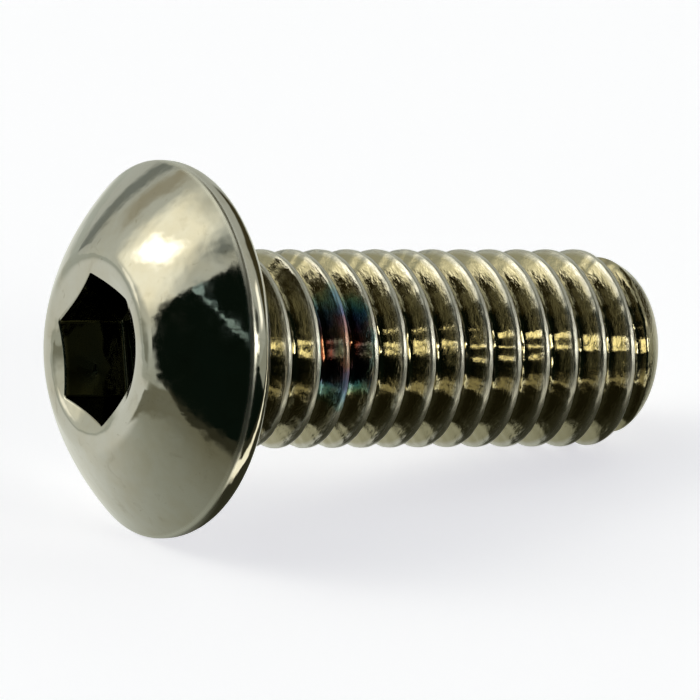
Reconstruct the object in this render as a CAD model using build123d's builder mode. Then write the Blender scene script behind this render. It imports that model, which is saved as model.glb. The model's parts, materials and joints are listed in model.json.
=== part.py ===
from build123d import *
from math import asin, atan2, cos, degrees, hypot, radians, tan
import os

# A button head socket cap screw: cold headed, thread rolled and plated, all one piece.
# Sizes are in millimetres and angles in degrees. The screw is first built upright, head down, with
# its seat at zero and its point up, and the side that it rests on towards +X. Then it is laid down.

# Head, as high as the corner that its mouth would have if it weren't rounded
head_diameter = 8.90
head_height = 2.49
side_height = 0.70
dome_radius = 8.0
rim_front_radius = 0.12
rim_back_radius = 0.56

# Hexagon socket and the dished land around it
socket_across_flats = 3.14
socket_depth = 1.85
socket_corner_radius = 0.12
socket_floor_angle = 150
socket_turn = 34.1
land_width = 0.387
mouth_edge_radius = 0.8
land_angle = 144

# Neck, where the shank meets the head, a little thinner than the thread
neck_undercut = 0.23
neck_length = 0.42
neck_fillet = 0.25
shoulder_angle = 90

# Thread: a 60 degree form, right hand, with one start
thread_diameter = 4.72
thread_pitch = 0.79375
flank_angle = 60
crest_share = 1 / 8
depth_share = 0.6134
run_out_turns = 0.75
thread_turn = 168.9
cut_clearance = 0.03
spare_turns = 2

# Shank and its rounded point
shank_length = 12.35
point_length = 1.20
point_diameter = 3.62
point_edge_radius = 1.0

head_radius = head_diameter / 2
socket_radius = socket_across_flats / 2
mouth_radius = socket_radius / cos(radians(30)) + land_width
thread_radius = thread_diameter / 2
neck_radius = thread_radius - neck_undercut
point_radius = point_diameter / 2
crest_width = thread_pitch * crest_share
thread_depth = thread_pitch * depth_share
root_radius = thread_radius - thread_depth
shoulder_end = neck_length + (thread_radius - neck_radius) / tan(radians(shoulder_angle / 2))
thread_start = neck_length + run_out_turns * thread_pitch
point_start = shank_length - point_length
half_flank = tan(radians(flank_angle / 2))


def crest_points():
    """Each crest's lowest point on the side that the screw rests on, as height and radius."""
    first_groove = thread_start + thread_pitch * thread_turn / 360
    turns = int((shank_length - first_groove) / thread_pitch)
    for turn in range(turns):
        crest_middle = first_groove + thread_pitch * (turn + 0.5)
        crest_front = crest_middle - crest_width / 2
        crest_back = crest_middle + crest_width / 2
        height = min(max(point_start, crest_front), crest_back)
        along_point = max(0, height - point_start) / point_length
        yield height, thread_radius - along_point * (thread_radius - point_radius)


def resting_tilt():
    """The axis's angle to the floor, lying on the rounded rim and on the first crest to touch."""
    rim_centre = head_radius - rim_back_radius
    tilts = []
    for height, radius in crest_points():
        along = height + rim_back_radius
        fall = rim_centre - radius
        tilts.append(atan2(fall, along) + asin(rim_back_radius / hypot(along, fall)))
    return degrees(min(tilts))


# The rod is longer than the shank at both ends, so that the groove never ends on a face that it cuts.
with BuildPart() as shank:
    spare_length = spare_turns * thread_pitch
    with Locations((0, 0, -spare_length)):
        rod_length = shank_length + 2 * spare_length
        Cylinder(thread_radius, rod_length, align=(Align.CENTER, Align.CENTER, Align.MIN))

    # One groove of the thread, a little taller than the thread so that it clears the crest
    root_half = (thread_pitch - crest_width) / 2 - thread_depth * half_flank
    open_half = (thread_pitch - crest_width) / 2 + cut_clearance * half_flank
    open_radius = thread_radius + cut_clearance
    with BuildSketch(Plane.XZ) as groove:
        with BuildLine():
            Polyline(
                (root_radius, thread_start - root_half),
                (open_radius, thread_start - open_half),
                (open_radius, thread_start + open_half),
                (root_radius, thread_start + root_half),
                close=True,
            )
        make_face()

    # The full thread climbs to the tip
    with BuildLine() as climb:
        Helix(thread_pitch, shank_length + thread_pitch - thread_start, root_radius, (0, 0, thread_start))
    sweep(groove.sketch, path=climb.line, is_frenet=True, mode=Mode.SUBTRACT)

    # Below its start the groove widens out of the shank, towards the neck
    run_out_height = run_out_turns * thread_pitch
    run_out_angle = degrees(atan2(thread_depth + cut_clearance, run_out_height))
    with BuildLine() as run_out:
        Helix(
            thread_pitch / cos(radians(run_out_angle)),
            run_out_height,
            root_radius,
            (0, 0, thread_start),
            cone_angle=run_out_angle,
            lefthand=True,
        )
        mirror(about=Plane.XY.offset(thread_start), mode=Mode.REPLACE)
    sweep(groove.sketch, path=run_out.line, is_frenet=True, mode=Mode.SUBTRACT)

    # The shoulder above the neck and the rounded point trim the threaded rod
    with BuildSketch(Plane.XZ) as trim:
        with BuildLine():
            Polyline(
                (0, neck_length),
                (neck_radius, neck_length),
                (thread_radius, shoulder_end),
                (thread_radius, point_start),
                (point_radius, shank_length),
                (0, shank_length),
                close=True,
            )
        make_face()
        point_edge = trim.vertices().group_by(Axis.Y)[-1].sort_by(Axis.X)[-1]
        fillet(point_edge, point_edge_radius)
    revolve(axis=Axis.Z, mode=Mode.INTERSECT)


with BuildPart() as upright:
    # Head and neck, turned about the axis
    with BuildSketch(Plane.XZ) as section:
        with BuildLine():
            land_rise = mouth_radius / tan(radians(land_angle / 2))
            Line((0, land_rise - head_height), (mouth_radius, -head_height))
            RadiusArc((mouth_radius, -head_height), (head_radius, -side_height), -dome_radius)
            Polyline(
                (head_radius, -side_height),
                (head_radius, 0),
                (neck_radius, 0),
                (neck_radius, neck_length),
                (0, neck_length),
                (0, land_rise - head_height),
            )
        make_face()
        fillet(section.vertices().group_by(Axis.Y)[0], mouth_edge_radius)
        fillet(section.vertices().group_by(Axis.X)[-1].sort_by(Axis.Y)[-1], rim_back_radius)
        fillet(section.vertices().group_by(Axis.X)[-1].sort_by(Axis.Y)[0], rim_front_radius)
        fillet(section.vertices().filter_by_position(Axis.Y, 0, 0).sort_by(Axis.X)[0], neck_fillet)
    revolve(axis=Axis.Z)

    # Hexagon socket, with a shallow conical floor
    with BuildSketch(Plane.XY.offset(-head_height)) as hexagon:
        RegularPolygon(socket_radius, 6, major_radius=False, rotation=socket_turn)
        fillet(hexagon.vertices(), socket_corner_radius)
    extrude(amount=socket_depth, mode=Mode.SUBTRACT)
    with BuildSketch(Plane.XZ) as floor_section:
        with BuildLine():
            socket_floor = socket_depth - head_height
            Polyline(
                (0, socket_floor),
                (socket_radius, socket_floor),
                (0, socket_floor + socket_radius / tan(radians(socket_floor_angle / 2))),
                close=True,
            )
        make_face()
    revolve(axis=Axis.Z, mode=Mode.SUBTRACT)

    add(shank.part, rotation=(0, 0, -thread_turn))


# Laid on its side as it comes to rest, point towards +X, centred over the origin along X
laid = upright.part.rotate(Axis.Y, 90 + resting_tilt())
box = laid.bounding_box()
with BuildPart() as screw:
    with Locations((-box.center().X, 0, -box.min.Z)):
        add(laid)

os.makedirs("parts", exist_ok=True)
screw.part.label = "screw"
export_step(screw.part, "parts/screw.step")
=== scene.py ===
import json
from math import asin, atan2, cos, degrees, hypot, pi, radians, sin, sqrt, tan
from types import SimpleNamespace
from typing import NamedTuple

import bpy
import numpy as np
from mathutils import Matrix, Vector


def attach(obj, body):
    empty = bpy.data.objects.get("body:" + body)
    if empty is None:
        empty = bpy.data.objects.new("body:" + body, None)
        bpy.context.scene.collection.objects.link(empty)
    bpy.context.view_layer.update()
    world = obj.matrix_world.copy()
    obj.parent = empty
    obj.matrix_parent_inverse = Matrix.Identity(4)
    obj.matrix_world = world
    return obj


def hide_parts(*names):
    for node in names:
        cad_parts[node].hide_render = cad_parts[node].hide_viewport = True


# The looks of a button head screw: plated metal, lying on its side on a pale floor.
# Lengths in the mesh section are in millimetres along the screw's own axis, with the seat under the
# head at zero, the head below zero and the point above. The mesh is laid in the row frame in metres.

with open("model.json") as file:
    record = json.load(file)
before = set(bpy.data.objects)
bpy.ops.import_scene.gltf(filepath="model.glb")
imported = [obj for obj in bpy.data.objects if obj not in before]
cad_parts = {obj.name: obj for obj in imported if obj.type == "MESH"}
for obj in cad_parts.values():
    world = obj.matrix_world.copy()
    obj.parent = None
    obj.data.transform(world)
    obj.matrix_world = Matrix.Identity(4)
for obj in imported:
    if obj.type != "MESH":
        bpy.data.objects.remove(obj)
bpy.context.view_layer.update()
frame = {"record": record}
MILLIMETRE = 0.001

# Head, as high as the corner that its mouth would have if it weren't rounded
head_radius = 4.45
head_height = 2.49
side_height = 0.70
dome_radius = 8.0
rim_front_radius = 0.12
rim_back_radius = 0.56

# Hexagon socket and the dished land around it
socket_sides = 6
socket_radius = 1.57
socket_depth = 1.85
socket_corner_radius = 0.12
socket_floor_angle = 150
socket_turn = 34.1
land_width = 0.387
mouth_edge_radius = 0.8
land_angle = 144
lip_radius = 0.05
socket_foot_radius = 0.08

# Neck and thread
neck_length = 0.42
neck_undercut = 0.23
neck_fillet = 0.25
shoulder_rounding = 0.04
thread_radius = 2.36
thread_pitch = 0.79375
crest_share = 1 / 8
depth_share = 0.6134
half_flank_angle = 30
run_out_turns = 0.75
thread_turn = 168.9
crest_rounding = 0.05
root_rounding = 0.14
trim_rounding = 0.03

# Rounded point
shank_length = 12.35
point_length = 1.20
point_radius = 1.81
point_edge_radius = 1.0
point_hand_over = 12.13

# Wear and unevenness of the rolled thread, made of waves with these numbers of cycles a turn
ragged_seed = 7
ragged_edge = 0.010
ragged_crest = 0.002
ragged_crest_reach = 0.07
ragged_cycles = range(3, 38, 2)
ragged_drift = 0.45
ragged_strength = (0.4, 1.0)

# How finely the mesh is divided round the screw
columns = 240
corner_columns = 12

# Rows across one pitch, first as shares of half a crest, then as shares of the pitch: beyond the
# crest's edge, from the crest's middle, and beyond the root's edge
crest_rows = (0.35, 0.8)
crest_edge_rows = (0.015, 0.055)
flank_rows = (0.20, 0.31)
root_edge_rows = (-0.035, 0.02)

# Turns laid out beyond the thread's ends, the gap kept clear there, and the step that finds slopes
spare_turns_below = 3
spare_turns_above = 2
end_margin = 0.004
slope_step = 0.004

# Rows on the head, socket and point: counts on round stretches, and shares of straight ones
lip_steps = 7
foot_steps = 5
point_steps = 14
dome_end_share = 1 / 200
land_rows = (0.12, 0.5, 0.9, 1.0)
wall_rows = (0.04, 0.3, 0.6, 0.9, 1.0)
floor_rows = (0.9, 0.7, 0.45, 0.2)
end_rows = (0.96, 0.6, 0.25)

neck_radius = thread_radius - neck_undercut
thread_depth = thread_pitch * depth_share
thread_start = neck_length + run_out_turns * thread_pitch
first_crest = thread_start + thread_pitch * (0.5 + thread_turn / 360)

point_start = shank_length - point_length
point_slope = (thread_radius - point_radius) / point_length
point_fall = atan2(thread_radius - point_radius, point_length)
point_bend_start = shank_length - point_edge_radius * tan((pi / 2 - point_fall) / 2) * cos(point_fall)
point_bend_radius = point_radius + point_slope * (shank_length - point_bend_start)
point_centre_radius = point_bend_radius - point_edge_radius * cos(point_fall)

side_angle = 360 / socket_sides
half_side = radians(side_angle / 2)
mouth_radius = socket_radius / cos(half_side) + land_width
land_slope = radians(90 - land_angle / 2)
land_axis_height = mouth_radius * tan(land_slope) - head_height
floor_slope = radians(90 - socket_floor_angle / 2)
floor_edge_height = socket_depth - head_height


def smooth_max(a, b, width):
    """The larger of two values, rounded over where they meet."""
    return np.maximum(a, b) + np.maximum(width - np.abs(a - b), 0) ** 2 / (4 * width)


def smooth_min(a, b, width):
    """The smaller of two values, rounded over where they meet."""
    return -smooth_max(-a, -b, width)


def ragged(turns, seed):
    """A seeded wave about zero that never repeats along the helix."""
    random = np.random.RandomState(seed)
    total = np.zeros_like(turns)
    for cycles in ragged_cycles:
        phase = random.uniform(0, 2 * pi)
        pace = cycles + random.uniform(-ragged_drift, ragged_drift)
        total += np.sin(2 * pi * pace * turns + phase) * random.uniform(*ragged_strength)
    return total / sqrt(ragged_cycles.stop - ragged_cycles.start)


def point_outline(height):
    """The outline that trims the thread: neck, shoulder, crest line and rounded point."""
    shoulder = neck_radius + (height - neck_length)
    cone = thread_radius - point_slope * (height - point_start)
    centre_height = shank_length - point_edge_radius
    inside = np.maximum(point_edge_radius**2 - (height - centre_height) ** 2, 0)
    tip = np.where(height > point_bend_start, point_centre_radius + np.sqrt(inside), cone)
    return np.minimum(smooth_min(shoulder, thread_radius, shoulder_rounding), tip)


def thread_surface(height, angle):
    """The shank's radius at a height and an angle: the thread, trimmed by its outline."""
    phase = (height - first_crest) / thread_pitch - angle / (2 * pi)
    crest = np.round(phase)
    turns = crest + angle / (2 * pi)
    from_crest = (phase - crest) * thread_pitch
    edge = crest_share * thread_pitch / 2 + ragged_edge * ragged(turns, ragged_seed)
    groove = turns + np.where(from_crest < 0, -0.5, 0.5)
    groove_height = first_crest + groove * thread_pitch
    fade = np.clip(1 + (groove_height - thread_start) / (run_out_turns * thread_pitch), 0, 1)
    down = (np.abs(from_crest) - edge) / tan(radians(half_flank_angle))
    depth = smooth_min(smooth_max(down, 0.0, crest_rounding), thread_depth, root_rounding)
    near_crest = np.exp(-((from_crest / ragged_crest_reach) ** 2))
    crown = ragged_crest * (1 + ragged(turns, ragged_seed + 1)) * near_crest
    radius = thread_radius - depth * fade - crown
    return smooth_min(radius, point_outline(height), trim_rounding)


def unit(vectors):
    """Vectors scaled to length one."""
    return vectors / np.linalg.norm(vectors, axis=-1, keepdims=True)


def around(radius, height, angles):
    """Points at a radius and a height, at several angles."""
    return np.stack([radius * np.cos(angles), radius * np.sin(angles), height + 0 * angles], axis=-1)


def thread_point(height, angle):
    """The point of the thread's surface at a height and an angle."""
    radius = thread_surface(height, angle)
    return np.stack([radius * np.cos(angle), radius * np.sin(angle), height], axis=-1)


def surface_normals(height, angle):
    """The way out of the thread's surface at each height and angle, from its slopes."""
    turn = slope_step / thread_radius
    along = thread_point(height + slope_step, angle) - thread_point(height - slope_step, angle)
    round_about = thread_point(height, angle + turn) - thread_point(height, angle - turn)
    return unit(np.cross(round_about, along))


class ClosedMesh:
    """Rings of vertices, each with its own normal, joined into one closed surface."""

    def __init__(self):
        self.points = []
        self.normals = []
        self.faces = []

    def add(self, points, normals):
        """Adds vertices and returns their numbers."""
        first = len(self.points)
        self.points.extend(points.tolist())
        self.normals.extend(unit(normals).tolist())
        return np.arange(first, len(self.points))

    def add_face(self, corners):
        """Adds a face, leaving out corners that fell together."""
        kept = [corner for i, corner in enumerate(corners) if corner != corners[i - 1]]
        if len(kept) > 2:
            self.faces.append(kept)

    def join(self, lower, upper):
        """Joins two rings, where upper lies further along the screw or further out of the socket."""
        for here, there, above_there, above_here in zip(
            lower, np.roll(lower, -1), np.roll(upper, -1), upper
        ):
            self.faces.append([here, there, above_there, above_here])

    def close(self, ring, middle, outward):
        """Closes a ring with a fan round one vertex, turned so that it faces outward."""
        centre = self.add(np.array([middle]), np.array([outward]))[0]
        for here, there in zip(ring, np.roll(ring, -1)):
            self.faces.append([here, there, centre] if outward[2] > 0 else [there, here, centre])


def row_places():
    """Where the rows lie across one pitch: closest at the crest's edges and round the root."""
    half_crest = crest_share / 2
    half_root = 0.5 - half_crest - depth_share * tan(radians(half_flank_angle))
    one_side = [share * half_crest for share in crest_rows]
    one_side += [half_crest + beyond for beyond in crest_edge_rows]
    one_side += flank_rows
    one_side += [0.5 - half_root + beyond for beyond in root_edge_rows]
    return np.array([0.0, *one_side, 0.5, *(1 - place for place in reversed(one_side))])


def grow_thread(mesh, angles):
    """The threaded shank between the neck and the rounded point. Returns its two end rings."""
    places = row_places()
    count = len(places)
    lowest = int((neck_length - first_crest) / thread_pitch) - spare_turns_below
    highest = int((point_hand_over - first_crest) / thread_pitch) + spare_turns_above
    phases = np.concatenate([turn + places for turn in range(lowest, highest)])
    heights = first_crest + thread_pitch * (phases[:, None] + angles[None, :] / (2 * pi))
    inside = (heights > neck_length + end_margin) & (heights < point_hand_over - end_margin)
    start_heights = np.full(columns, neck_length)
    end_heights = np.full(columns, point_hand_over)
    start = mesh.add(thread_point(start_heights, angles), around(1, 0, angles))
    end = mesh.add(thread_point(end_heights, angles), surface_normals(end_heights, angles))
    numbers = np.where(heights < point_hand_over / 2, start[None, :], end[None, :])
    spread = np.broadcast_to(angles, heights.shape)[inside]
    numbers[inside] = mesh.add(
        thread_point(heights[inside], spread), surface_normals(heights[inside], spread)
    )
    # The last column meets the first one a pitch further up
    wrapped = np.vstack([numbers[count:, :1], np.repeat(end[:1], count)[:, None]])
    numbers = np.hstack([numbers, wrapped])
    for row in range(len(phases) - 1):
        for column in range(columns):
            mesh.add_face(
                [
                    numbers[row, column],
                    numbers[row, column + 1],
                    numbers[row + 1, column + 1],
                    numbers[row + 1, column],
                ]
            )
    return start, end


def farthest_meeting(origin, direction, centre, radius):
    """How far along a line it leaves a circle."""
    gap = np.subtract(origin, centre)
    half = np.dot(gap, direction)
    return -half + sqrt(half**2 - np.dot(gap, gap) + radius**2)


def bearing_between(start, end):
    """The direction from one point of the outline to another, in degrees."""
    return degrees(atan2(end[1] - start[1], end[0] - start[0]))


def head_outline():
    """The head's turned outline as rows of radius, height and outward normal, from neck to mouth."""
    rows = []

    def line(start, end, gaps, normal, count):
        """A straight stretch, which keeps a gap clear at either end."""
        way = unit(np.subtract(end, start))
        first = np.add(start, gaps[0] * way)
        last = np.subtract(end, gaps[1] * way)
        for share in np.linspace(0, 1, count):
            rows.append((*(first + share * (last - first)), *normal))

    def bend(centre, radius, start, end, count, facing=1):
        """A round stretch between two bearings in degrees. Facing is -1 where it is hollow."""
        for angle in np.radians(np.linspace(start, end, count)):
            way = np.array([cos(angle), sin(angle)])
            rows.append((*(np.array(centre) + radius * way), *(facing * way)))

    # The circle of the dome runs through the rim's corner and the mouth's corner
    rim = np.array([head_radius, -side_height])
    mouth = np.array([mouth_radius, -head_height])
    chord = mouth - rim
    reach = sqrt(dome_radius**2 - np.dot(chord, chord) / 4)
    inward = np.array([chord[1], -chord[0]]) / hypot(*chord)
    dome_centre = (rim + mouth) / 2 + reach * inward

    # Small circles that round the rim and the mouth, tangent to the dome from inside
    rim_line = (head_radius - rim_front_radius, 0)
    rim_reach = farthest_meeting(rim_line, (0, -1), dome_centre, dome_radius - rim_front_radius)
    rim_centre = (rim_line[0], -rim_reach)
    land_normal = np.array([sin(land_slope), cos(land_slope)])
    land_way = np.array([cos(land_slope), -sin(land_slope)])
    mouth_line = np.array([0, land_axis_height]) + mouth_edge_radius * land_normal
    mouth_reach = farthest_meeting(mouth_line, land_way, dome_centre, dome_radius - mouth_edge_radius)
    mouth_centre = mouth_line + mouth_reach * land_way
    rim_bearing = bearing_between(dome_centre, rim_centre)
    mouth_bearing = bearing_between(dome_centre, mouth_centre)
    dome_gap = (rim_bearing - mouth_bearing) * dome_end_share

    fillet_centre = (neck_radius + neck_fillet, neck_fillet)
    back_centre = (head_radius - rim_back_radius, -rim_back_radius)
    neck_top = (neck_radius, neck_length)
    line(neck_top, (neck_radius, neck_fillet), gaps=(0.03, 0.02), normal=(1, 0), count=3)
    bend(fillet_centre, neck_fillet, 180, 270, count=9, facing=-1)
    line((fillet_centre[0], 0), (back_centre[0], 0), gaps=(0.03, 0.02), normal=(0, 1), count=5)
    bend(back_centre, rim_back_radius, 90, 0, count=11)
    side_top = (head_radius, -rim_back_radius)
    line(side_top, (head_radius, rim_centre[1]), gaps=(0.05, 0.04), normal=(1, 0), count=3)
    bend(rim_centre, rim_front_radius, 0, rim_bearing, count=8)
    bend(dome_centre, dome_radius, rim_bearing - dome_gap, mouth_bearing + dome_gap, count=32)
    bend(mouth_centre, mouth_edge_radius, mouth_bearing, -90 - degrees(land_slope), count=16)
    return rows


def hexagon():
    """The socket's rounded hexagon, one point and one inward direction for each column."""
    side = columns // socket_sides
    flat = (side - corner_columns) // 2
    half_flat = (socket_radius - socket_corner_radius) * tan(half_side)
    middle = (socket_radius - socket_corner_radius) / cos(half_side)
    shift = round((socket_turn - side_angle / 2) / 360 * columns)
    points, inward = [], []
    for column in range(columns):
        sector, place = divmod(column - shift, side)
        corner = radians(socket_turn + side_angle * sector)
        bend = np.clip((place - flat) / corner_columns, 0, 1)
        facing = corner + radians(side_angle * bend - side_angle / 2)
        centre = middle * np.array([cos(corner), sin(corner)])
        along = 0.0
        if place < flat:
            along = -half_flat * (1 - place / flat)
        if place > flat + corner_columns:
            along = half_flat * (place - flat - corner_columns) / flat
        out = np.array([cos(facing), sin(facing)])
        points.append(centre + socket_corner_radius * out + along * np.array([-out[1], out[0]]))
        inward.append(-out)
    return np.array(points), np.array(inward)


def grow_head(mesh, start, angles):
    """Neck, seat, rim, dome and mouth. Returns the last ring and its radius."""
    ring = start
    for radius, height, outward, upward in head_outline():
        following = mesh.add(around(radius, height, angles), around(outward, upward, angles))
        mesh.join(following, ring)
        ring = following
    return ring, radius


def quarter_turn(steps):
    """The angles that end each step of a quarter turn."""
    return np.radians(np.linspace(90 / steps, 90, steps))


def bearings(flat_points):
    """The angle round the axis of points given by their X and Y."""
    return np.arctan2(flat_points[:, 1], flat_points[:, 0])


def land_height(flat_points):
    """The height of the dished land at points given by their X and Y."""
    return land_axis_height - tan(land_slope) * np.linalg.norm(flat_points, axis=1)


def grow_socket(mesh, ring, outer_radius, angles):
    """The dished land and the socket, from the mouth's ring down to the floor's middle."""

    def lay(ring, flat_points, heights, outward):
        """Adds a ring and joins it to the one before."""
        following = mesh.add(np.column_stack([flat_points, heights]), outward)
        mesh.join(following, ring)
        return following

    # The dished land, from the round mouth to the hexagon
    edge, inward = hexagon()
    mouth_ring = around(outer_radius, 0, angles)[:, :2]
    lip_ring = edge - inward * lip_radius
    land_normals = -around(sin(land_slope), cos(land_slope), bearings(lip_ring))
    for share in land_rows:
        flat_points = mouth_ring + share * (lip_ring - mouth_ring)
        ring = lay(ring, flat_points, land_height(flat_points), land_normals)

    # The rounded lip and the wall
    lip_heights = land_height(lip_ring)
    wall_way = np.column_stack([inward, np.zeros(columns)])
    for angle in quarter_turn(lip_steps):
        flat_points = lip_ring + inward * lip_radius * sin(angle)
        heights = lip_heights + lip_radius * (1 - cos(angle))
        ring = lay(ring, flat_points, heights, land_normals * cos(angle) + wall_way * sin(angle))
    wall_top = lip_heights + lip_radius
    wall_foot = floor_edge_height - socket_foot_radius
    for share in wall_rows:
        ring = lay(ring, edge, wall_top + share * (wall_foot - wall_top), wall_way)

    # The rounded foot and the conical floor
    floor_way = np.array([0, 0, -1.0])
    for angle in quarter_turn(foot_steps):
        flat_points = edge + inward * socket_foot_radius * (1 - cos(angle))
        heights = np.full(columns, wall_foot + socket_foot_radius * sin(angle))
        ring = lay(ring, flat_points, heights, wall_way * cos(angle) + floor_way * sin(angle))
    for share in floor_rows:
        flat_points = (edge + inward * socket_foot_radius) * share
        inside = np.maximum(socket_radius - np.linalg.norm(flat_points, axis=1), 0)
        cone_way = around(-sin(floor_slope), -cos(floor_slope), bearings(flat_points))
        ring = lay(ring, flat_points, floor_edge_height + inside * tan(floor_slope), cone_way)
    mesh.close(ring, (0, 0, floor_edge_height + socket_radius * tan(floor_slope)), (0, 0, -1))


def grow_point(mesh, end, angles):
    """The rounded point, from the thread's last ring to the flat end."""
    first = asin((point_hand_over - shank_length + point_edge_radius) / point_edge_radius)
    ring = end
    for angle in np.linspace(first, pi / 2, point_steps)[1:]:
        radius = point_centre_radius + point_edge_radius * cos(angle)
        height = shank_length - point_edge_radius * (1 - sin(angle))
        following = mesh.add(around(radius, height, angles), around(cos(angle), sin(angle), angles))
        mesh.join(ring, following)
        ring = following
    for share in end_rows:
        flat_ring = around(point_centre_radius * share, shank_length, angles)
        following = mesh.add(flat_ring, around(0, 1, angles))
        mesh.join(ring, following)
        ring = following
    mesh.close(ring, (0, 0, shank_length), (0, 0, 1))


def make_screw():
    """The whole screw as one closed mesh in the row frame. Its place attribute keeps its own axes."""
    mesh = ClosedMesh()
    angles = np.arange(columns) * 2 * pi / columns
    start, end = grow_thread(mesh, angles)
    mouth, outer_radius = grow_head(mesh, start, angles)
    grow_socket(mesh, mouth, outer_radius, angles)
    grow_point(mesh, end, angles)
    points = np.array(mesh.points)
    laying = np.array([rest_side, crosswise, axis])
    data = bpy.data.meshes.new("plated_screw")
    data.from_pydata((points @ laying * MILLIMETRE + np.array(seat)).tolist(), [], mesh.faces)
    data.shade_smooth()
    data.normals_split_custom_set_from_vertices((np.array(mesh.normals) @ laying).tolist())
    place = data.attributes.new("place", "FLOAT_VECTOR", "POINT")
    place.data.foreach_set("vector", points.astype(np.float32).ravel())
    screw = bpy.data.objects.new("plated_screw", data)
    bpy.context.scene.collection.objects.link(screw)
    return screw


# The screw's own axes in the row frame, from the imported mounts

mounts = {mount["name"]: mount for mount in frame["record"]["mounts"]}
axis = Vector(mounts["thread"]["axis"]).normalized()
seat = Vector(mounts["drive_socket"]["pos_m"]) + axis * head_height * MILLIMETRE
rest_side = Vector((0, 0, -1))
rest_side = (rest_side - rest_side.dot(axis) * axis).normalized()
crosswise = axis.cross(rest_side)

screw = make_screw()

# Camera: the photograph's angle, with the screw's axis level in the picture. Angles are in degrees,
# lengths in millimetres, and the clipping distances in metres.

axis_to_picture = 31.4
camera_elevation = 20.4
camera_distance = 390
picture_width = 16.47
film_width = 36
seat_left_of_centre = 3.95
seat_above_centre = 0.022
nearest_seen = 0.01
farthest_seen = 5


def make_camera():
    """The camera, its picture's right and up directions, and its direction from the object."""
    climb = sin(radians(camera_elevation))
    toward_x = (-sin(radians(axis_to_picture)) - axis.z * climb) / axis.x
    toward = Vector((toward_x, -sqrt(1 - climb**2 - toward_x**2), climb))
    right = Vector((0, 0, 1)).cross(toward).normalized()
    up = toward.cross(right)
    target = seat + (seat_left_of_centre * right - seat_above_centre * up) * MILLIMETRE
    data = bpy.data.cameras.new("camera")
    data.sensor_width = film_width
    data.lens = film_width * camera_distance / picture_width
    data.clip_start = nearest_seen
    data.clip_end = farthest_seen
    camera = bpy.data.objects.new("camera", data)
    camera.location = target + toward * camera_distance * MILLIMETRE
    camera.rotation_euler = toward.to_track_quat("Z", "Y").to_euler()
    bpy.context.scene.collection.objects.link(camera)
    bpy.context.scene.camera = camera
    return right, up, toward


right, up, toward = make_camera()


class Nodes:
    """Makes the nodes of one shader tree. A value is a number, a colour, a vector or a socket."""

    def __init__(self, tree):
        self.tree = tree

    def make(self, kind, settings=None, **inputs):
        """Adds a node, sets its settings, and sets or links its inputs by name or, as _0, by number."""
        made = self.tree.nodes.new("ShaderNode" + kind)
        for name, value in (settings or {}).items():
            setattr(made, name, value)
        for name, value in inputs.items():
            key = int(name[1:]) if name.startswith("_") else name
            self.feed(made.inputs[key], value)
        return made

    def feed(self, socket, value):
        """Links a socket to another one, or gives it a fixed value."""
        if isinstance(value, bpy.types.NodeSocket):
            self.tree.links.new(value, socket)
        else:
            socket.default_value = value

    def math(self, operation, first, second=0.0):
        """One step of arithmetic."""
        return self.make("Math", {"operation": operation}, _0=first, _1=second).outputs[0]

    def add(self, first, second):
        """The sum of two values."""
        return self.math("ADD", first, second)

    def subtract(self, first, second):
        """The first value less the second."""
        return self.math("SUBTRACT", first, second)

    def multiply(self, *factors):
        """Several values multiplied together."""
        total = factors[0]
        for factor in factors[1:]:
            total = self.math("MULTIPLY", total, factor)
        return total

    def dot(self, first, second):
        """The dot product of two vectors."""
        return self.make("VectorMath", {"operation": "DOT_PRODUCT"}, _0=first, _1=second).outputs["Value"]

    def noise(self, place, scale, detail, roughness, distortion=0.0):
        """A soft random pattern about 0.5."""
        made = self.make(
            "TexNoise",
            Vector=place,
            Scale=scale,
            Detail=detail,
            Roughness=roughness,
            Distortion=distortion,
        )
        return made.outputs["Fac"]

    def wobble(self, place, *pattern):
        """A soft random pattern about zero."""
        return self.subtract(self.noise(place, *pattern), 0.5)

    def rise(self, value, start, end, low=0.0, high=1.0):
        """Goes smoothly from low at start to high at end."""
        settings = {"interpolation_type": "SMOOTHSTEP"}
        made = self.make("MapRange", settings, _0=value, _1=start, _2=end, _3=low, _4=high)
        return made.outputs[0]

    def window(self, value, middle, half, soft):
        """1 within half of the middle, falling to 0 over soft."""
        away = self.math("ABSOLUTE", self.subtract(value, middle))
        return self.rise(away, half + soft, half)

    def mix(self, share, first, second, blend="MIX"):
        """Blends two colours."""
        made = self.make("Mix", {"data_type": "RGBA", "blend_type": blend}, _0=share, _6=first, _7=second)
        return made.outputs[2]

    def ramp(self, value, stops):
        """A colour for each value, from stops of place and colour."""
        made = self.make("ValToRGB", Fac=value)
        points = made.color_ramp.elements
        while len(points) < len(stops):
            points.new(0.5)
        for point, (place, colour) in zip(points, stops):
            point.position = place
            point.color = (*colour, 1)
        return made.outputs["Color"]


# Plating: smoky nickel, with places on the screw in millimetres. A range says where a change starts
# and ends, and may go on with its two values. A band is its middle, its half width and its soft edge.
# A pattern is a noise's scale, detail, roughness and distortion. The scale counts cycles for each
# unit of the place: a millimetre on the screw, the tent's radius in the tent, a metre on the card.

nickel_light = (0.56, 0.545, 0.49, 1)
nickel_warm = (0.53, 0.50, 0.42, 1)
smudge_brown = (0.30, 0.27, 0.20, 1)
# Painted shade: a darker olive colour for the thread's grooves
groove_painted_shade = (0.39, 0.355, 0.235, 1)
worn_steel = (0.74, 0.73, 0.67, 1)
# Painted shade: dark olive and teal colours for the socket
socket_painted_shade_olive = (0.21, 0.185, 0.085, 1)
socket_painted_shade_teal = (0.12, 0.15, 0.15, 1)

cloud_pattern = (0.9, 3.0, 0.55)
smudge_pattern = (1.7, 5.0, 0.65, 0.8)
speck_pattern = (5.0, 3.0, 0.6, 1.2)
haze_pattern = (2.2, 5.0, 0.6)
wave_pattern = (1.3, 2.0, 0.5)
streak_pattern = (4.5, 3.0, 0.6)
pit_pattern = (6.0, 2.0, 0.5)

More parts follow.
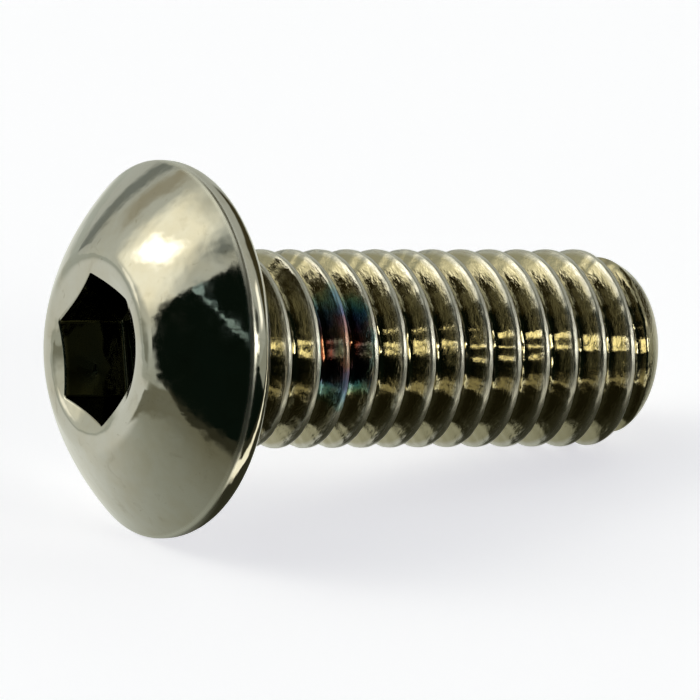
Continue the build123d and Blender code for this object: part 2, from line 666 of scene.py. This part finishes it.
thread_range = (neck_length - 0.25, neck_length + 0.1)
groove_range = (0.05, 0.16)
crest_range = (0.08, 0.01)
rim_range = (head_radius - 0.16, head_radius - 0.05)
rim_band = (-side_height, 0.03, 0.08)
socket_range = (1.84, 1.80)
below_land_range = (land_axis_height + 0.02, land_axis_height + 0.14)

warm_range = (0.35, 0.7)
smudge_range = (0.56, 0.74)
smudge_share = 0.3
speck_range = (0.66, 0.72)
speck_share = 0.35
worn_share = 0.75
worn_dullness = 0.28
head_haze_range = (0.35, 0.75, 0.035, 0.11)
thread_haze_range = (0.3, 0.7, 0.05, 0.14)

wave_height = 0.015 * MILLIMETRE
scar_height = 0.011 * MILLIMETRE
scars_on_head = 0.03
streak_squeeze = (1.0, 1.0, 5.0)
pit_share = 0.12

# Temper colours round the place where the plating got hot, from its middle outward
tint_place = 3.13
tint_core = 0.35
tint_half_length = 0.80
tint_bearing = -108
tint_half_turn = 44
tint_pattern = (2.3, 4.0, 0.6)
tint_wander = 0.55
tint_depth_range = (0.0, 0.07, 0.7, 0.85)
tint_end_range = (1.0, 0.85)
tint_side = (cos(radians(tint_bearing)), sin(radians(tint_bearing)), 0)
temper_colours = (
    (0.0, (0.34, 0.17, 0.10)),
    (0.22, (0.55, 0.16, 0.09)),
    (0.36, (0.38, 0.13, 0.42)),
    (0.50, (0.10, 0.24, 0.85)),
    (0.68, (0.16, 0.55, 1.0)),
    (0.86, (0.58, 0.92, 1.0)),
    (1.0, (1.0, 0.98, 0.90)),
)


def find_places(nodes):
    """Where a point of the surface lies on the screw, in millimetres and as masks from 0 to 1."""
    at = SimpleNamespace()
    at.place = nodes.make("Attribute", {"attribute_name": "place"}).outputs["Vector"]
    x, y, at.along = nodes.make("SeparateXYZ", Vector=at.place).outputs
    at.radius = nodes.math("SQRT", nodes.add(nodes.multiply(x, x), nodes.multiply(y, y)))
    at.depth = nodes.subtract(thread_radius, at.radius)
    at.on_thread = nodes.rise(at.along, *thread_range)
    at.in_groove = nodes.multiply(at.on_thread, nodes.rise(at.depth, *groove_range))
    on_crest = nodes.multiply(at.on_thread, nodes.rise(at.depth, *crest_range))
    on_rim = nodes.multiply(nodes.rise(at.radius, *rim_range), nodes.window(at.along, *rim_band))
    at.worn = nodes.math("MAXIMUM", on_crest, on_rim)
    at.in_socket = nodes.multiply(
        nodes.rise(at.along, neck_length, 0.0),
        nodes.rise(at.radius, *socket_range),
        nodes.rise(nodes.add(at.along, nodes.multiply(at.radius, tan(land_slope))), *below_land_range),
    )
    return at


def heat_tint(nodes, at, metal):
    """Temper colours in rings round one hot spot on the second and third crests."""
    facing = nodes.math("DIVIDE", nodes.dot(at.place, tint_side), at.radius)
    turned = nodes.math("DIVIDE", nodes.math("ARCCOSINE", facing), radians(tint_half_turn))
    beyond = nodes.math("ABSOLUTE", nodes.subtract(at.along, tint_place))
    beyond = nodes.math("MAXIMUM", nodes.subtract(beyond, tint_core), 0.0)
    shifted = nodes.math("DIVIDE", beyond, tint_half_length - tint_core)
    squares = nodes.add(nodes.multiply(turned, turned), nodes.multiply(shifted, shifted))
    wander = nodes.multiply(nodes.wobble(at.place, *tint_pattern), tint_wander)
    away = nodes.add(nodes.math("SQRT", squares), wander)
    share = nodes.rise(at.depth, *tint_depth_range)
    strength = nodes.multiply(nodes.rise(away, *tint_end_range), share)
    tinted = nodes.mix(1.0, metal, nodes.ramp(away, temper_colours), "MULTIPLY")
    return nodes.mix(strength, metal, tinted)


def plating_colour(nodes, at):
    """Warmer and darker in patches, with painted olive shade in the grooves, pale where worn and painted
    dark shade in the socket.
    """
    cloud = nodes.noise(at.place, *cloud_pattern)
    metal = nodes.mix(nodes.rise(cloud, *warm_range), nickel_light, nickel_warm)
    smudge = nodes.rise(nodes.noise(at.place, *smudge_pattern), *smudge_range)
    metal = nodes.mix(nodes.multiply(smudge, smudge_share), metal, smudge_brown)
    specks = nodes.rise(nodes.noise(at.place, *speck_pattern), *speck_range)
    metal = nodes.mix(nodes.multiply(specks, speck_share), metal, smudge_brown)
    # Painted shade: the grooves get a darker olive colour
    metal = nodes.mix(at.in_groove, metal, groove_painted_shade)
    metal = nodes.mix(nodes.multiply(at.worn, worn_share), metal, worn_steel)
    metal = heat_tint(nodes, at, metal)
    # Painted shade: the socket gets dark olive and teal colours
    return nodes.mix(at.in_socket, metal, nodes.mix(cloud, socket_painted_shade_olive, socket_painted_shade_teal))


def plating_roughness(nodes, at):
    """A mirror with a faint haze on the head, a little duller on the thread, and dull where worn."""
    haze = nodes.noise(at.place, *haze_pattern)
    on_head = nodes.rise(haze, *head_haze_range)
    on_thread = nodes.rise(haze, *thread_haze_range)
    clean = nodes.make("Mix", {"data_type": "FLOAT"}, _0=at.on_thread, _2=on_head, _3=on_thread)
    return nodes.add(clean.outputs[0], nodes.multiply(at.worn, worn_dullness))


def plating_bump(nodes, at):
    """Long waves everywhere, and on the thread the streaks and pits that rolling leaves."""
    swell = nodes.noise(at.place, *wave_pattern)
    waves = nodes.make("Bump", Strength=1.0, Distance=wave_height, Height=swell)
    squeezed = nodes.make("VectorMath", {"operation": "MULTIPLY"}, _0=at.place, _1=streak_squeeze)
    streaks = nodes.noise(squeezed.outputs[0], *streak_pattern)
    pits = nodes.noise(at.place, *pit_pattern)
    fine = nodes.make(
        "Bump",
        Strength=nodes.rise(at.on_thread, 0.0, 1.0, scars_on_head, 1.0),
        Distance=scar_height,
        Height=nodes.add(streaks, nodes.multiply(pits, pit_share)),
        Normal=waves.outputs[0],
    )
    return fine.outputs[0]


def plating_material():
    """Smoky nickel over steel: mirror bright on the head, rippled, streaked and stained on the thread,
    with painted shade in the grooves and the socket.
    """
    material = bpy.data.materials.new("smoky_nickel")
    material.use_nodes = True
    nodes = Nodes(material.node_tree)
    at = find_places(nodes)
    shader = material.node_tree.nodes["Principled BSDF"]
    shader.inputs["Metallic"].default_value = 1
    nodes.feed(shader.inputs["Base Color"], plating_colour(nodes, at))
    nodes.feed(shader.inputs["Roughness"], plating_roughness(nodes, at))
    nodes.feed(shader.inputs["Normal"], plating_bump(nodes, at))
    return material


screw.data.materials.append(plating_material())
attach(screw, "root")
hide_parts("screw")


# Studio: a pale floor, a light tent with the photographer's dark opening in it, and a soft key light.
# Bearings are in degrees to the right of the camera and heights in degrees above its line of sight.

tent_pale = (0.70, 0.72, 0.62, 1)
tent_back = (0.56, 0.58, 0.51, 1)
tent_low = (0.50, 0.53, 0.46, 1)
glow_cream = (1.48, 1.44, 1.17, 1)
key_white = (3.4, 3.3, 2.9, 1)
opening_black = (0.004, 0.008, 0.005, 1)
side_light = (9.0, 8.8, 7.6, 1)
rim_light = (1.9, 1.85, 1.6, 1)
olive_dark = (0.06, 0.052, 0.022, 1)
seam_grey = (0.24, 0.26, 0.23, 1)
seam_brown = (0.44, 0.42, 0.32, 1)
low_grey = (0.27, 0.28, 0.22, 1)
glint_white = (1.45, 1.42, 1.20, 1)
streak_teal = (0.38, 0.52, 0.50, 1)
white = (1, 1, 1, 1)

key_bearing = -79
key_height = 41
key_distance = 250 * MILLIMETRE
key_width = 90 * MILLIMETRE
key_power = 0.02
key_colour = (1.0, 0.98, 0.92)


class Patch(NamedTuple):
    """A soft-edged place in the tent, each pair given as bearing and height."""

    colour: tuple
    middle: tuple
    half: tuple
    soft: tuple


# The tent's walls, where a later patch covers an earlier one, and what shines in front of them
pale_wall_band = (-80, 18, 45)
low_wall_range = (12, -6)
roof_range = (66, 72)
mottle_pattern = (2.5, 2.0, 0.5)
mottle_share = 0.35
wall_patches = (
    Patch(glow_cream, middle=(-80, 37), half=(15, 13), soft=(17, 12)),
    Patch(key_white, middle=(key_bearing, key_height), half=(6, 1.5), soft=(12, 4.5)),
    Patch(low_grey, middle=(-85, -1), half=(6, 2), soft=(11, 8)),
    Patch(glint_white, middle=(-99, 12), half=(2, 2), soft=(6, 4)),
    Patch(seam_grey, middle=(-43, 45), half=(2, 1), soft=(9, 7)),
    Patch(seam_grey, middle=(-144, 32), half=(2, 14), soft=(6, 12)),
    Patch(olive_dark, middle=(132, 20), half=(22, 18), soft=(10, 8)),
    Patch(seam_brown, middle=(-126, 45), half=(4, 4), soft=(7, 9)),
    Patch(olive_dark, middle=(30, 42), half=(30, 27), soft=(5, 6)),
)
lamp_patches = (
    Patch(side_light, middle=(50, 2.5), half=(9, 4), soft=(5, 3)),
    Patch(rim_light, middle=(84, 20), half=(5, 7), soft=(6, 6)),
)

# The dark opening: its torn edges, its climbing top and its left edge, which leans in low down
tear_pattern = (13.0, 4.0, 0.75)
tear_height = 11.0
tear_bearing = 6.0
opening_left_range = (-59, -55)
opening_right_range = (66, 60)
opening_left_top = (-53, 24)
opening_climb = 0.7
opening_highest = 44
opening_top_range = (1.5, -1.5)
opening_lean = 0.15
opening_lean_below = 2

# The torn strip of light across the opening
strip_start = (-46, 30)
strip_fall = 1.1
strip_half = 0.5
strip_soft = 2.2
strip_band = (-34, 10, 4)
strip_pattern = (30.0, 3.0, 0.7)
strip_range = (0.38, 0.6)


def seen_from_camera(bearing, height):
    """The direction in the row frame at a bearing and a height from the camera's side."""
    level = cos(radians(height))
    return (
        right * sin(radians(bearing)) * level
        + up * sin(radians(height))
        + toward * cos(radians(bearing)) * level
    )


def paint_patches(nodes, bearing, height, tone, patches):
    """Lays patches over a tone, one after the other."""
    for patch in patches:
        sideways = nodes.window(bearing, patch.middle[0], patch.half[0], patch.soft[0])
        upward = nodes.window(height, patch.middle[1], patch.half[1], patch.soft[1])
        tone = nodes.mix(nodes.multiply(sideways, upward), tone, patch.colour)
    return tone


def paint_walls(nodes, way, bearing, height):
    """The mottled walls of the tent with their glow, their seams and their dark roof."""
    tone = nodes.mix(nodes.window(bearing, *pale_wall_band), tent_back, tent_pale)
    tone = nodes.mix(nodes.rise(height, *low_wall_range), tone, tent_low)
    mottled = nodes.add(1.0, nodes.multiply(nodes.wobble(way, *mottle_pattern), mottle_share))
    grey = nodes.make("CombineXYZ", _0=mottled, _1=mottled, _2=mottled).outputs[0]
    tone = nodes.mix(1.0, tone, grey, "MULTIPLY")
    tone = paint_patches(nodes, bearing, height, tone, wall_patches)
    return nodes.mix(nodes.rise(height, *roof_range), tone, olive_dark)


def paint_opening(nodes, way, bearing, height, tone):
    """The dark opening, whose top climbs to the right, and the torn strip of light across it."""
    jag = nodes.wobble(way, *tear_pattern)
    torn_height = nodes.add(height, nodes.multiply(jag, tear_height))
    torn_bearing = nodes.add(bearing, nodes.multiply(jag, tear_bearing))
    to_right = nodes.subtract(bearing, opening_left_top[0])
    top = nodes.add(opening_left_top[1], nodes.multiply(to_right, opening_climb))
    top = nodes.math("MINIMUM", top, opening_highest)
    below_top = nodes.rise(nodes.subtract(torn_height, top), *opening_top_range)
    sunk = nodes.math("MINIMUM", nodes.subtract(height, opening_lean_below), 0.0)
    left_edge = nodes.add(torn_bearing, nodes.multiply(sunk, opening_lean))
    opening = nodes.multiply(
        nodes.rise(left_edge, *opening_left_range),
        nodes.rise(bearing, *opening_right_range),
        below_top,
    )
    tone = nodes.mix(opening, tone, opening_black)

    fallen = nodes.multiply(nodes.subtract(bearing, strip_start[0]), strip_fall)
    across = nodes.window(nodes.add(torn_height, fallen), strip_start[1], strip_half, strip_soft)
    broken = nodes.rise(nodes.noise(way, *strip_pattern), *strip_range)
    strip = nodes.multiply(across, nodes.window(bearing, *strip_band), broken)
    return nodes.mix(strip, tone, streak_teal)


def make_world():
    """White for the camera, and the light tent for everything else."""
    world = bpy.data.worlds.new("studio")
    bpy.context.scene.world = world
    world.use_nodes = True
    nodes = Nodes(world.node_tree)
    way = nodes.make("TexCoord").outputs["Generated"]
    sideways, upward, forward = (nodes.dot(way, tuple(side)) for side in (right, up, toward))
    bearing = nodes.math("DEGREES", nodes.math("ARCTAN2", sideways, forward))
    height = nodes.math("DEGREES", nodes.math("ARCSINE", upward))
    tone = paint_walls(nodes, way, bearing, height)
    tone = paint_opening(nodes, way, bearing, height, tone)
    tone = paint_patches(nodes, bearing, height, tone, lamp_patches)
    seen = nodes.make("LightPath").outputs["Is Camera Ray"]
    background = world.node_tree.nodes["Background"]
    nodes.feed(background.inputs["Color"], nodes.mix(seen, tone, white))


# Floor and card. Sizes of the floor are in metres, and places on the card in millimetres along the
# row's X and Y axes, where the camera is on the side of negative Y.

floor_half = 0.6
floor_colour = (0.85, 0.86, 0.90, 1)
floor_shine = (0.92, 0.92, 1.0, 1)
floor_glow = 0.62

card_height = 0.02 * MILLIMETRE
card_pattern = (700, 3.0, 0.6)
card_tear = 2.0
# Painted shade: dim to grey to pale from front to back
card_dim = (0.20, 0.20, 0.14, 1)
card_grey = (0.40, 0.42, 0.35, 1)
card_pale = (0.80, 0.82, 0.74, 1)
grey_range = (-6.5, -1.0)
pale_range = (-2.5, 3.0)
far_back_range = (20, 60)
far_left_range = (-36, -60)

card_brown = (0.21, 0.21, 0.15, 1)
brown_band = (-27, 8, 3)
brown_range = (6, 3)

# Painted shade beside the shank, also the dim edge of the black front, and a painted strip of light
card_shade = (0.040, 0.040, 0.024, 1)
card_painted_light_strip = (1.6, 1.55, 1.25, 1)
shank_range = (-6.5, -5)
shade_range = (-0.2, -0.6)
shade_skew = 0.1
shade_tear = 0.6
bright_band = (-5.7, 0.5, 0.5)

front_edge = -6.7
front_shade_range = (front_edge + 0.4, front_edge - 0.4)
front_black_range = (front_edge - 0.9, front_edge - 1.9)
front_bend_start = -20
front_bend = 0.1
front_right_range = (1.2, 3.2)
front_right_lean = 0.62
front_right_depth_range = (front_edge - 2, front_edge - 4)


def make_plane(name, height):
    """A flat stage piece as wide as the floor, with an empty material."""
    data = bpy.data.meshes.new(name)
    corners = [(x, y, height) for x, y in ((-1, -1), (1, -1), (1, 1), (-1, 1))]
    data.from_pydata([(x * floor_half, y * floor_half, z) for x, y, z in corners], [], [(0, 1, 2, 3)])
    plane = bpy.data.objects.new(name, data)
    bpy.context.scene.collection.objects.link(plane)
    material = bpy.data.materials.new(name)
    material.use_nodes = True
    material.node_tree.nodes.remove(material.node_tree.nodes["Principled BSDF"])
    data.materials.append(material)
    return plane, Nodes(material.node_tree)


def make_floor():
    """Pale and plain. A little of its own light makes it white to the camera, and it keeps the shadow."""
    plane, nodes = make_plane("floor", 0)
    path = nodes.make("LightPath").outputs
    seen = nodes.math("MAXIMUM", path["Is Camera Ray"], path["Is Glossy Ray"])
    seen = nodes.math("MAXIMUM", seen, path["Is Transmission Ray"])
    shine = nodes.make("Emission", Color=floor_shine, Strength=nodes.multiply(seen, floor_glow))
    pale = nodes.make("BsdfDiffuse", Color=floor_colour)
    both = nodes.make("AddShader", _0=shine.outputs[0], _1=pale.outputs[0])
    nodes.feed(nodes.tree.nodes["Material Output"].inputs["Surface"], both.outputs[0])


def make_card():
    """A glowing studio card that only the metal sees, a painted reflection of the floor: pale behind the
    screw, black in front of it.
    """
    plane, nodes = make_plane("card", card_height)
    for ray in ("camera", "diffuse", "transmission", "volume_scatter", "shadow"):
        setattr(plane, "visible_" + ray, False)
    place = nodes.make("NewGeometry").outputs["Position"]
    split = nodes.make("SeparateXYZ", Vector=place).outputs
    x, y = (nodes.multiply(value, 1 / MILLIMETRE) for value in split[:2])
    cloud = nodes.wobble(place, *card_pattern)
    torn = nodes.add(y, nodes.multiply(cloud, card_tear))

    # Painted shade, grey to pale from front to back in front of and under the screw; the tent's own
    # colour far off, and a brown patch by the head
    tone = nodes.mix(nodes.rise(y, *grey_range), card_dim, card_grey)
    tone = nodes.mix(nodes.rise(y, *pale_range), tone, card_pale)
    far_off = nodes.math("MAXIMUM", nodes.rise(y, *far_back_range), nodes.rise(x, *far_left_range))
    tone = nodes.mix(far_off, tone, tent_low)
    brown = nodes.multiply(nodes.window(x, *brown_band), nodes.rise(y, *brown_range))
    tone = nodes.mix(brown, tone, card_brown)

    # Painted shadow beside the shank, with a painted strip of light in it
    beside = nodes.rise(x, *shank_range)
    skew = nodes.add(nodes.multiply(x, shade_skew), nodes.multiply(cloud, shade_tear))
    shade = nodes.rise(nodes.add(y, skew), *shade_range)
    tone = nodes.mix(nodes.multiply(beside, shade), tone, card_shade)
    tone = nodes.mix(nodes.multiply(beside, nodes.window(torn, *bright_band)), tone, card_painted_light_strip)

    # The black front, whose edge bends towards the camera on the far left, and its grey right side
    far_left = nodes.math("MINIMUM", nodes.subtract(x, front_bend_start), 0.0)
    front = nodes.subtract(torn, nodes.multiply(far_left, front_bend))
    tone = nodes.mix(nodes.rise(front, *front_shade_range), tone, card_shade)
    tone = nodes.mix(nodes.rise(front, *front_black_range), tone, opening_black)
    to_right = nodes.add(x, nodes.multiply(y, front_right_lean))
    right_side = nodes.multiply(
        nodes.rise(to_right, *front_right_range), nodes.rise(y, *front_right_depth_range)
    )
    tone = nodes.mix(right_side, tone, card_grey)
    light = nodes.make("Emission", Color=tone)
    nodes.feed(nodes.tree.nodes["Material Output"].inputs["Surface"], light.outputs[0])


def make_key():
    """A soft key light, high on the left. The metal sees the tent's glow in its place."""
    data = bpy.data.lights.new("key", "AREA")
    data.size = key_width
    data.energy = key_power
    data.color = key_colour
    key = bpy.data.objects.new("key", data)
    out = seen_from_camera(key_bearing, key_height)
    key.location = seat + out * key_distance
    key.rotation_euler = out.to_track_quat("Z", "Y").to_euler()
    key.visible_camera = False
    key.visible_glossy = False
    bpy.context.scene.collection.objects.link(key)


make_world()
make_floor()
make_card()
make_key()
bpy.context.scene.view_settings.view_transform = "Standard"
